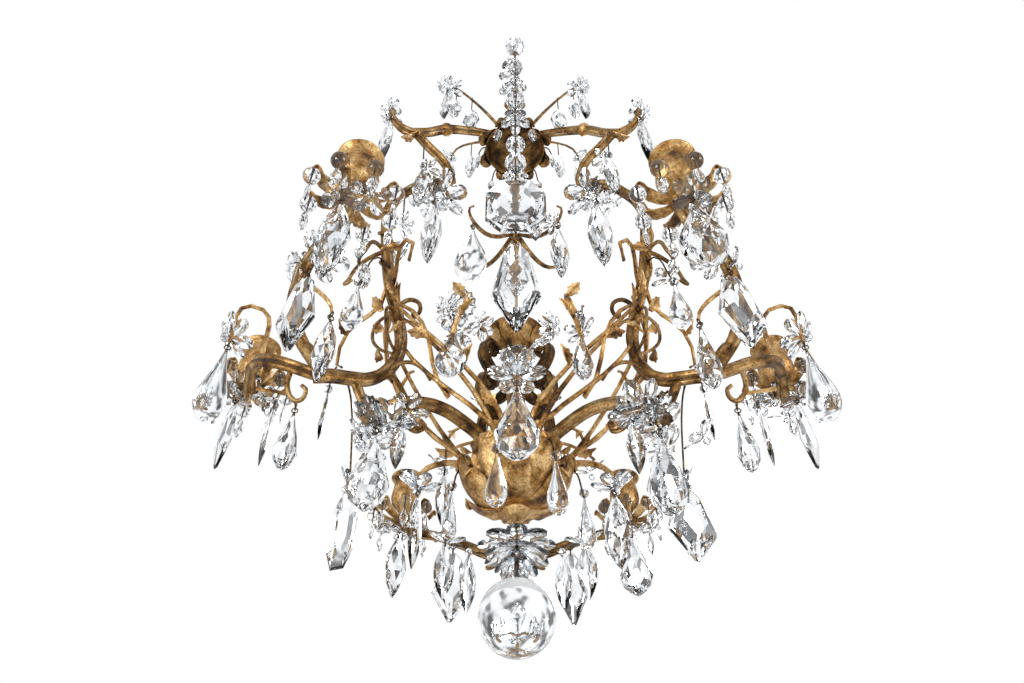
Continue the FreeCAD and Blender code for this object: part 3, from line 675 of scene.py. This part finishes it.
CURLS = (
    # points as azimuth from the bar, radius and height, then the radii along it
    (((0, 113, -438), (4, 108, -430), (8, 103, -433), (10, 100, -441), (9, 100, -448), (6, 101, -448),
      (6, 102, -443)), (2.0, 1.7, 1.5)),
    (((0, 113, -440), (4, 122, -446), (6, 125, -460), (4, 119, -476), (0, 107, -484)), (1.3, 1.4, 1.2)),
    (((0, 130, -372), (3, 138, -376), (6, 147, -386), (7, 152, -402), (5, 154, -414), (4, 150, -410)),
     (2.0, 1.7, 1.3)),
    (((1, 112, -503), (6, 102, -498), (10, 92, -504), (12, 86, -514)), (1.8, 1.5, 1.3)),
    (((4, 180, -520), (8, 178, -532), (8, 170, -540), (5, 166, -536), (5, 170, -532)), (2.2, 1.8, 1.4)),
)
WOUND_R, WOUND_POINTS, WOUND_POINTS_A_TURN = 6.2, 22, 7
BAR_MIDDLE = ((130, -303), (133, -326), (131, -350), (128, -372), (120, -413), (109.5, -446))


def curls():
    """Curled twig ends on the bars, and a thin vine wound round each upright."""
    pieces = []
    for bar in BARS.values():
        for side in (1, -1):
            for points, radii in CURLS:
                path = [polar(bar + side * part, r, z) for part, r, z in points]
                pieces.append(forged("curl", path, radii, ROUND, 5))
        path = []
        for k in range(WOUND_POINTS):
            r, z = on_path(BAR_MIDDLE, 0.12 + 0.85 * k / (WOUND_POINTS - 1))
            a = 2 * math.pi * k / WOUND_POINTS_A_TURN
            aside = turn(bar) @ Vector((WOUND_R * math.sin(a), 0, 0))
            path.append(polar(bar, r + WOUND_R * math.cos(a), z) + aside * MM)
        pieces.append(forged("wound_vine", path, (1.2, 1.3, 1.0), ROUND, 3))
    finish(joined("twig_curls", pieces), GOLD, "cage", soft=50)


# ---------- crystals ----------
PENDANTS = {
    "star_pendant_1": ("pear", 35), "star_pendant_2": ("kite", 21), "star_pendant_3": ("pear", 33),
    "star_pendant_4": ("oval", 22), "star_pendant_5": ("kite", 20), "star_pendant_6": ("oval", 25),
    "arm_pendant_1": ("kite", 36), "arm_pendant_2": ("drop", 28), "arm_pendant_3": ("kite", 29),
    "arm_pendant_4": ("kite", 38), "arm_pendant_5": ("drop", 27), "arm_pendant_6": ("kite", 29),
    "bar_pear_1": ("pear", 33), "bar_pear_2": ("pear", 30), "bar_pear_3": ("pear", 33),
    "bracket_drop_1": ("pear", 32), "bracket_drop_2": ("oval", 28), "bracket_drop_3": ("almond", 18),
    "inner_drop_1": ("pear", 20), "inner_drop_2": ("pear", 21), "inner_drop_3": ("almond", 20),
    "inner_drop_4": ("almond", 20), "inner_drop_5": ("pear", 22), "inner_drop_6": ("oval", 21),
    "corner_drop_1": ("oval", 33), "corner_drop_2": ("oval", 30), "corner_drop_3": ("oval", 28),
    "hook_drop_1": ("oval", 24), "hook_drop_2": ("drop", 34),
    "front_plaque": ("plaque", 53), "front_prism": ("kite", 40),
}
FACES = {"star_pendant_2": 35, "star_pendant_5": -35, "arm_pendant_1": 20, "arm_pendant_6": -20,
         "star_pendant_6": -10}
JOINTS = {joint["child"]: joint for joint in frame["record"]["behaviour"]["joints"]}


def azimuth_of(point):
    return math.degrees(math.atan2(point[0], -point[1]))


def pendants():
    """Each hanging stone, with the wire link at its top."""
    for node, (cut, width) in PENDANTS.items():
        hinge = Vector(JOINTS[node]["pos_m"])
        az = azimuth_of(hinge)
        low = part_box(node)[0]
        top = hinge - UP * STONE_BELOW_HINGE * MM
        bottom = JOINTS["front_prism"]["pos_m"][2] + 0.011 if node == "front_plaque" else low[2]
        height = (top.z - bottom) / MM
        gem = stone(cut, top, width * 0.99, height, FACES.get(node, az))
        gem.name = node + "_stone"
        finish(gem, CRYSTAL, node, node, soft=20 if cut == "drop" else None)
        eye = link(hinge - UP * LINK_BELOW_HINGE * MM, az + 90)
        cap = wire([top + UP * 1.2 * MM, top - UP * 3 * MM], 0.8)
        parts = [eye, cap]
        if node == "front_plaque":
            foot = Vector(JOINTS["front_prism"]["pos_m"])
            parts += [link(foot + UP * LINK_R * MM, az),
                      wire([foot + UP * 4.4 * MM, foot + UP * 12 * MM], 0.7)]
        finish(joined(node + "_wire", parts), WIRE, node)


CHAIN_R = 88
# the stones of the front chain as cut, top, width and height
CHAIN = (("oval", -64, 17, 44), ("bead", -110, 12, 12), ("oval", -126, 20, 58), ("bead", -188, 12, 12),
         ("bead", -232, 19, 17), ("oval", -250, 21, 40))
# the crystal leaves between them as height, lean, azimuth and length
CHAIN_LEAVES = ((-72, 40, 105, 22), (-92, 60, 80, 20), (-112, 50, -60, 17), (-118, 70, 60, 20),
                (-120, 75, 0, 16), (-190, 60, 0, 17), (-190, 60, 72, 17), (-190, 60, 144, 17),
                (-190, 60, -144, 17), (-190, 60, -72, 17), (-284, 60, 0, 15), (-284, 55, 75, 15),
                (-284, 55, -75, 15))


def front_chain():
    """The stones and crystal leaves that hang in front of the crown, wired in one line."""
    gems = [stone(cut, polar(0, CHAIN_R, z), width, height, 0) for cut, z, width, height in CHAIN]
    petals = [stone("petal", polar(0, CHAIN_R, z), length * 0.6, length, 0, math.radians(lean), spin)
              for z, lean, spin, length in CHAIN_LEAVES]
    finish(joined("front_chain_stones", gems + petals), CRYSTAL, "front_chain", "front_chain")
    top, foot = (Vector(JOINTS[node]["pos_m"]) for node in ("front_chain", "front_plaque"))
    parts = [link(top - UP * LINK_BELOW_HINGE * MM, 90), link(foot + UP * LINK_R * MM, 0),
             wire([top - UP * 3.4 * MM, polar(0, CHAIN_R, -180), foot + UP * 4.6 * MM], 0.7)]
    finish(joined("front_chain_wire", parts), WIRE, "front_chain")


BALL_R, BALL_Z = 26, -673


def ball():
    """The clear ball under the bowl, and the three rows of crystal leaves above it."""
    clear_selection()
    bpy.ops.mesh.primitive_uv_sphere_add(segments=64, ring_count=40, radius=BALL_R * MM * 0.995,
                                         location=(0, 0, BALL_Z * MM))
    bpy.ops.object.transform_apply(location=True)
    sphere = bpy.context.object
    finish(joined("ball", [sphere]), CRYSTAL, "ball_drop", "ball_drop", soft=60)
    petals = []
    for count, z, lean, length, width, start in ((8, -616, 84, 25, 16, 0), (8, -620, 66, 23, 15, 0.5),
                                                 (7, -625, 42, 19, 12, 0.2)):
        for k in range(count):
            az = (k + start) * 360 / count
            petals.append(stone("petal", polar(az, 2.5, z), width, length, az, -math.radians(lean)))
    petals.append(stone("bead", polar(0, 0, -622), 13, 12, 0))
    petals.append(stone("bead", polar(0, 0, -634), 10, 12, 0))
    finish(joined("ball_rosette", petals), CRYSTAL, "ball_drop", soft=20)
    hinge = Vector(JOINTS["ball_drop"]["pos_m"])
    parts = [link(hinge - UP * LINK_BELOW_HINGE * MM, 90), wire([polar(0, 0, -607), polar(0, 0, -650)], 1.2)]
    finish(joined("ball_wire", parts), WIRE, "ball_drop")


def star_beads():
    """A clear bead and a small cut drop on each leaf tip of the drip pans."""
    clear_selection()
    bpy.ops.mesh.primitive_uv_sphere_add(segments=20, ring_count=14, radius=5.9 * MM)
    bead = bpy.context.object
    gems, wires = [], []
    for az in CUPS:
        at = polar(az, CUP_RING_R, 0)
        over_arm = 1 if parent_bar(az)[1] > 0 else 6
        for k in range(8):
            if k == over_arm:
                continue
            leaf_az = az + 180 + 45 * (k + 0.5)
            tip = at + polar(leaf_az, 30, STAR_Z + 10)
            gems.append(copy_of(bead, Matrix.Translation(tip - UP * 6 * MM)))
            length = random.uniform(18, 22)
            gems.append(stone("oval" if k % 3 else "almond", tip - UP * 14 * MM, 8, length, leaf_az))
            wires.append(wire([tip + UP * 1.5 * MM, tip - UP * 15 * MM], 0.45))
    drop(bead)
    finish(joined("star_bead_stones", gems), CRYSTAL, "cage", "star_beads", soft=30)
    finish(joined("star_bead_wires", wires), WIRE, "cage")


WIRED_DROPS = (
    # cut, azimuth, radius, top, width, length, azimuth it faces, where its wire starts
    ("almond", 60, 148, -172, 20, 78, 35, (60, 147, -151)),
    ("almond", -60, 148, -172, 20, 78, -35, (-60, 147, -151)),
    ("almond", 180, 148, -172, 20, 78, 180, (180, 147, -151)),
    ("almond", 60, 89, -62, 16, 56, 30, (60, 88, -50)),
    ("almond", -60, 89, -62, 16, 56, -30, (-60, 88, -50)),
    ("oval", 120, 89, -62, 18, 56, 120, (120, 88, -50)),
    ("oval", -120, 89, -62, 18, 56, -120, (-120, 88, -50)),
    ("almond", 180, 89, -62, 18, 56, 180, (180, 88, -50)),
    ("almond", 28, 40, -124, 11, 26, 28, (28, 33.2, -109)),
    ("almond", -28, 40, -124, 11, 26, -28, (-28, 33.2, -109)),
    ("almond", 85, 41, -124, 11, 26, 60, (85, 33.2, -109)),
    ("almond", -85, 41, -124, 11, 26, -60, (-85, 33.2, -109)),
    ("almond", 140, 41, -124, 11, 26, 140, (140, 33.2, -109)),
    ("almond", -140, 41, -124, 11, 26, -140, (-140, 33.2, -109)),
    ("oval", 51, 116, -238, 17, 62, 30, (60, 114, -169)),
    ("oval", -51, 113, -254, 18, 62, -30, (-60, 114, -169)),
    ("oval", -74, 112, -293, 20, 56, -30, (-60, 120, -280)),
    ("almond", 22, 48, -294, 13, 37, 10, (55, 30, -287)),
    ("drop", 54, 152, -443, 20, 46, 54, (60, 127, -385)),
    ("drop", -54, 152, -443, 20, 48, -54, (-60, 127, -385)),
    ("pear", 31, 93, -486, 17, 48, 31, (33, 86, -456)),
    ("pear", -31, 93, -486, 26, 44, -31, (-33, 86, -456)),
    ("almond", 92, 157, -470, 13, 50, 60, (90, 152, -446)),
    ("almond", -92, 157, -470, 13, 50, -60, (-90, 152, -446)),
    ("almond", -142, 101, -500, 15, 51, -142, (-142, 100, -462)),
    ("almond", 51, 104, -560, 14, 45, 20, (60, 104, -536)),
    ("almond", -51, 104, -562, 12, 39, -20, (-60, 104, -536)),
    ("kite", 80, 122, -586, 38, 58, 20, (60, 142, -524)),
    ("plaque", -80, 121, -588, 20, 62, -20, (-60, 142, -524)),
    ("drop", -17, 48, -572, 16, 46, -17, (-17, 40, -552)),
    ("drop", 32, 52, -577, 16, 46, 32, (32, 40, -552)),
    ("drop", -90, 48, -572, 13, 42, -90, (-90, 40, -552)),
    ("drop", 90, 50, -578, 16, 44, 90, (90, 40, -552)),
    ("almond", 86.6, 192.6, -502, 15, 56, 60, (86.6, 192.6, -496)),
    ("almond", -86.6, 192.6, -502, 15, 56, -60, (-86.6, 192.6, -496)),
    ("almond", 166, 181, -522, 16, 56, 166, (172, 191, -514)),
    ("almond", -166, 181, -522, 16, 58, -166, (-172, 191, -514)),
)


CROWN_STONES = (
    # cut, azimuth, radius, top, width, length: small ones that hang from the sprays
    ("oval", -58, 58, -74, 21, 50), ("oval", 58, 58, -74, 21, 50), ("oval", -62, 76, -62, 16, 40),
    ("oval", 62, 76, -62, 16, 40), ("oval", 0, 62, -72, 18, 44), ("oval", 120, 60, -74, 18, 46),
    ("oval", -120, 60, -74, 18, 46), ("oval", 180, 60, -74, 18, 46),
)


def wired_drops():
    """Stones wired straight to the frame, the longer ones with a small bead where the wire ends."""
    gems, polished, wires = [], [], []
    for cut, az, r, z, width, length, face, start in WIRED_DROPS:
        near, above = polar(*start), polar(az, r, z)
        sag = UP * 0.3 * (near.z - above.z)
        path = [near, near + (above - near) * 0.4 + sag, above + (near - above) * 0.15 + sag * 0.5,
                above - UP * 0.0015]
        (polished if cut == "drop" else gems).append(stone(cut, above, width, length, face))
        wires.append(forged("wire", path, (0.9, 0.7, 0.7, 0.7), ROUND, 4))
        if length > 36:
            gems.append(stone("bead", above + UP * 0.007, 7.5, 7.5, face))
    for cut, az, r, z, width, length in CROWN_STONES:
        gems.append(stone(cut, polar(az, r, z), width, length, az * 0.5))
        wires.append(wire([polar(az, r, z + 26), polar(az, r, z - 2)], 0.6))
    finish(joined("wired_drop_stones", gems), CRYSTAL, "cage", "wired_drops")
    finish(joined("wired_drop_polished", polished), CRYSTAL, "cage", soft=20)
    finish(joined("wired_drop_wires", wires), WIRE, "cage")


ROSETTES = (
    # flower, azimuth, radius, height, scale, how far its face looks down, turn
    ("fluted", 0, 92, -46, 0.9, 60, 0), ("fluted", -60, 92, -46, 0.9, 60, 20),
    ("small", 60, 92, -48, 1.1, 40, 0), ("fluted", 120, 92, -48, 0.9, 50, 0),
    ("fluted", -120, 92, -48, 0.9, 50, 0), ("six", 180, 92, -48, 0.8, 40, 0),
    ("small", -57, 86, -56, 1.2, 70, 40), ("small", 57, 86, -56, 1.2, 70, -40),
    ("six", 60, 150, -152, 0.8, 40, 0), ("small", 63, 148, -158, 1.2, 60, 50),
    ("six", -60, 150, -152, 0.8, 40, 0), ("small", -63, 148, -158, 1.2, 60, -50),
    ("six", 180, 150, -152, 0.8, 40, 0), ("five", 57, 84, -262, 1.35, 50, 20),
    ("five", 64, 96, -262, 1.25, 60, -30), ("small", 50, 112, -242, 1.1, 40, 0),
    ("five", -57, 84, -262, 1.35, 50, -20), ("five", -64, 96, -262, 1.25, 60, 30),
    ("small", -50, 110, -256, 1.1, 40, 0), ("five", 180, 84, -262, 1.15, 50, 0),
    ("fluted", 174, 90, -256, 0.9, 60, 0), ("small", 46, 50, -292, 1.0, 50, 0),
    ("small", -72, 112, -292, 1.0, 40, 0), ("fluted", -53, 150, -434, 0.9, 30, 0),
    ("small", 53, 150, -436, 1.2, 60, 40), ("six", -33, 96, -464, 1.0, 45, 0),
    ("fluted", -26, 94, -460, 1.0, 40, 0), ("small", -30, 86, -480, 1.3, 60, 40),
    ("fluted", 31, 93, -470, 0.9, 20, 60), ("small", 34, 90, -480, 1.2, 60, 40),
    ("fluted", 0, 98, -532, 1.0, 30, 0), ("six", 0, 92, -543, 1.25, 75, 0),
    ("six", 120, 92, -538, 1.1, 75, 0), ("six", -120, 92, -538, 1.1, 75, 0),
    ("fluted", -118, 96, -531, 1.0, 40, 0), ("fluted", 118, 96, -531, 1.0, 40, 0),
    ("fluted", -57, 122, -552, 1.1, 45, 0), ("five", -60, 116, -560, 1.2, 70, 0),
    ("five", -66, 118, -566, 1.1, 60, 0), ("small", -52, 112, -566, 1.4, 70, 0),
    ("fluted", 56, 122, -550, 1.15, 45, 10), ("five", 60, 116, -561, 1.2, 70, 0),
    ("five", 50, 116, -556, 1.2, 50, 0), ("small", 66, 116, -570, 1.4, 60, 0),
    ("six", 68, 142, -566, 0.9, 45, 30), ("five", 180, 118, -562, 1.2, 70, 0),
    ("fluted", 186, 122, -556, 1.0, 50, 0), ("fluted", 174, 122, -556, 1.0, 50, 0),
    ("six", -80, 122, -584, 0.9, 45, -20), ("six", 80, 123, -583, 0.8, 45, 20),
    ("small", -47, 104, -556, 1.2, 60, 0), ("small", 49, 104, -556, 1.2, 60, 0),
    ("fluted", -46, 212, -492, 1.0, 30, -15), ("five", -40, 208, -496, 1.1, 60, 0),
    ("six", 45, 212, -492, 0.8, 20, 60), ("five", 40, 208, -497, 0.9, 60, 0),
    ("fluted", -90, 208, -482, 1.0, 30, 15), ("small", -86, 206, -490, 1.3, 60, 0),
    ("small", 88, 206, -490, 1.3, 60, 0), ("six", 90, 210, -484, 0.9, 50, 0),
    ("six", -73, 230, -478, 1.15, 45, 20), ("six", 73, 230, -478, 1.15, 45, -20),
    ("fluted", 165, 208, -494, 1.0, 40, 0), ("fluted", -165, 208, -494, 1.0, 40, 0),
    ("five", 160, 190, -508, 1.1, 60, 0), ("five", -160, 190, -508, 1.1, 60, 0),
    ("six", 152, 214, -488, 1.0, 60, 0), ("six", -152, 214, -488, 1.0, 60, 0),
    ("fluted", 146, 236, -480, 0.9, 40, 0), ("fluted", -146, 236, -480, 0.9, 40, 0),
    ("small", 140, 101, -500, 1.3, 60, 0), ("small", -140, 101, -494, 1.3, 60, 0),
    ("fluted", 20, 60, -470, 1.0, 30, 120), ("fluted", 150, 60, -440, 1.1, 40, 0),
    ("six", 45, 44, -428, 0.8, 30, 0), ("fluted", -150, 60, -440, 1.0, 40, 0),
    ("six", -45, 44, -428, 0.8, 30, 0), ("six", 180, 36, -420, 0.9, 40, 0),
)


def rosettes():
    """Crystal flowers wired to the frame where the stones hang."""
    gems = [rosette("six", az, 233, STAR_Z - 7, 1.0, 60) for az in CUPS]
    gems += [rosette("small", az + 5, 224, STAR_Z - 9, 1.2, 50, 40) for az in CUPS]
    gems += [rosette(*row) for row in ROSETTES]
    finish(joined("rosettes", gems), CRYSTAL, "cage", soft=20)


# ---------- carried-over nodes ----------
def plain_nodes():
    """Thin forged pieces keep their CAD shape and get their finish."""
    for node in frame["nodes"]:
        obj = bpy.data.objects.get(node)
        if obj is None or obj.type != "MESH":
            continue
        # the crown's eye, hooks, sprays and ring take the darker gold, which is painted shade
        material = WIRE if node == "wire_links" else (
            GOLD_PAINTED_SHADE if node in ("crown_eye", "crown_hooks", "crown_sprays", "suspension_ring") else GOLD)
        if not len(obj.data.materials):
            obj.data.materials.append(material)
        for k in range(len(obj.data.materials)):
            obj.material_slots[k].material = material


# ---------- studio ----------
CAMERA_AT, CAMERA_TILT, CAMERA_LENS = (-0.0033, -0.52, -0.936), 135, 29.57
FLOOR_Z = -2.1
# name, place, power and width of each lamp; they all aim at the middle of the cage
LAMPS = (("key", (-1.2, -1.6, -1.1), 26, 0.9), ("fill", (1.6, -1.0, -0.6), 14, 0.8),
         ("rim", (0.6, 1.5, 0.6), 18, 0.7))
LAMP_AIM = Vector((0, 0, -0.4))


def studio():
    """A white ground with uneven bright panels for the stones to reflect, and the camera."""
    scene = bpy.context.scene
    scene.view_settings.view_transform = "Standard"
    world = bpy.data.worlds.new("studio")
    scene.world = world
    world.use_nodes = True
    tree = world.node_tree
    background = tree.nodes["Background"]
    where = add(tree, "TexCoord").outputs["Generated"]
    blotches = add(tree, "TexNoise", {"Vector": where, "Scale": 2.6, "Detail": 1.5})
    panels = ramp(tree, blotches.outputs["Fac"], (0.36, 0.06), (0.43, 0.4), (0.48, 1.0), (0.6, 1.2))
    seen = add(tree, "LightPath").outputs["Is Camera Ray"]
    mixed = add(tree, "Mix", {"Factor": seen, "A": panels, "B": (1, 1, 1, 1)}, data_type="RGBA")
    tree.links.new(mixed.outputs["Result"], background.inputs["Color"])
    background.inputs["Strength"].default_value = 1.0
    for name, spot, power, wide in LAMPS:
        data = bpy.data.lights.new(name, "AREA")
        data.energy = power
        data.size = wide
        lamp = bpy.data.objects.new(name, data)
        bpy.context.collection.objects.link(lamp)
        lamp.location = spot
        lamp.rotation_mode = "QUATERNION"
        lamp.rotation_quaternion = (LAMP_AIM - Vector(spot)).to_track_quat("-Z", "Y")
    clear_selection()
    bpy.ops.mesh.primitive_plane_add(size=14, location=(0, 0, FLOOR_Z))
    floor = bpy.context.object
    floor.name = "floor"
    material, tree, shader, place = new_material("pale_floor")
    cloudy = add(tree, "TexNoise", {"Vector": place, "Scale": 3, "Detail": 3})
    tree.links.new(ramp(tree, cloudy.outputs["Fac"], (0.3, "E9E9E8"), (0.7, "F2F2F1")),
                   shader.inputs["Base Color"])
    shader.inputs["Roughness"].default_value = 0.8
    floor.data.materials.append(material)
    camera_data = bpy.data.cameras.new("camera")
    camera_data.lens = CAMERA_LENS
    camera_data.clip_start = 0.02
    camera = bpy.data.objects.new("camera", camera_data)
    bpy.context.collection.objects.link(camera)
    camera.location = CAMERA_AT
    camera.rotation_euler = (math.radians(CAMERA_TILT), 0, 0)
    scene.camera = camera


cage_bars()
arms()
arches()
cups_and_pans()
bowl_and_vase()
crown()
vine_leaves()
curls()
pendants()
front_chain()
ball()
star_beads()
wired_drops()
rosettes()
plain_nodes()
drop(*CUTS.values(), *FLOWERS.values(), RIBBED, ROUND)
studio()
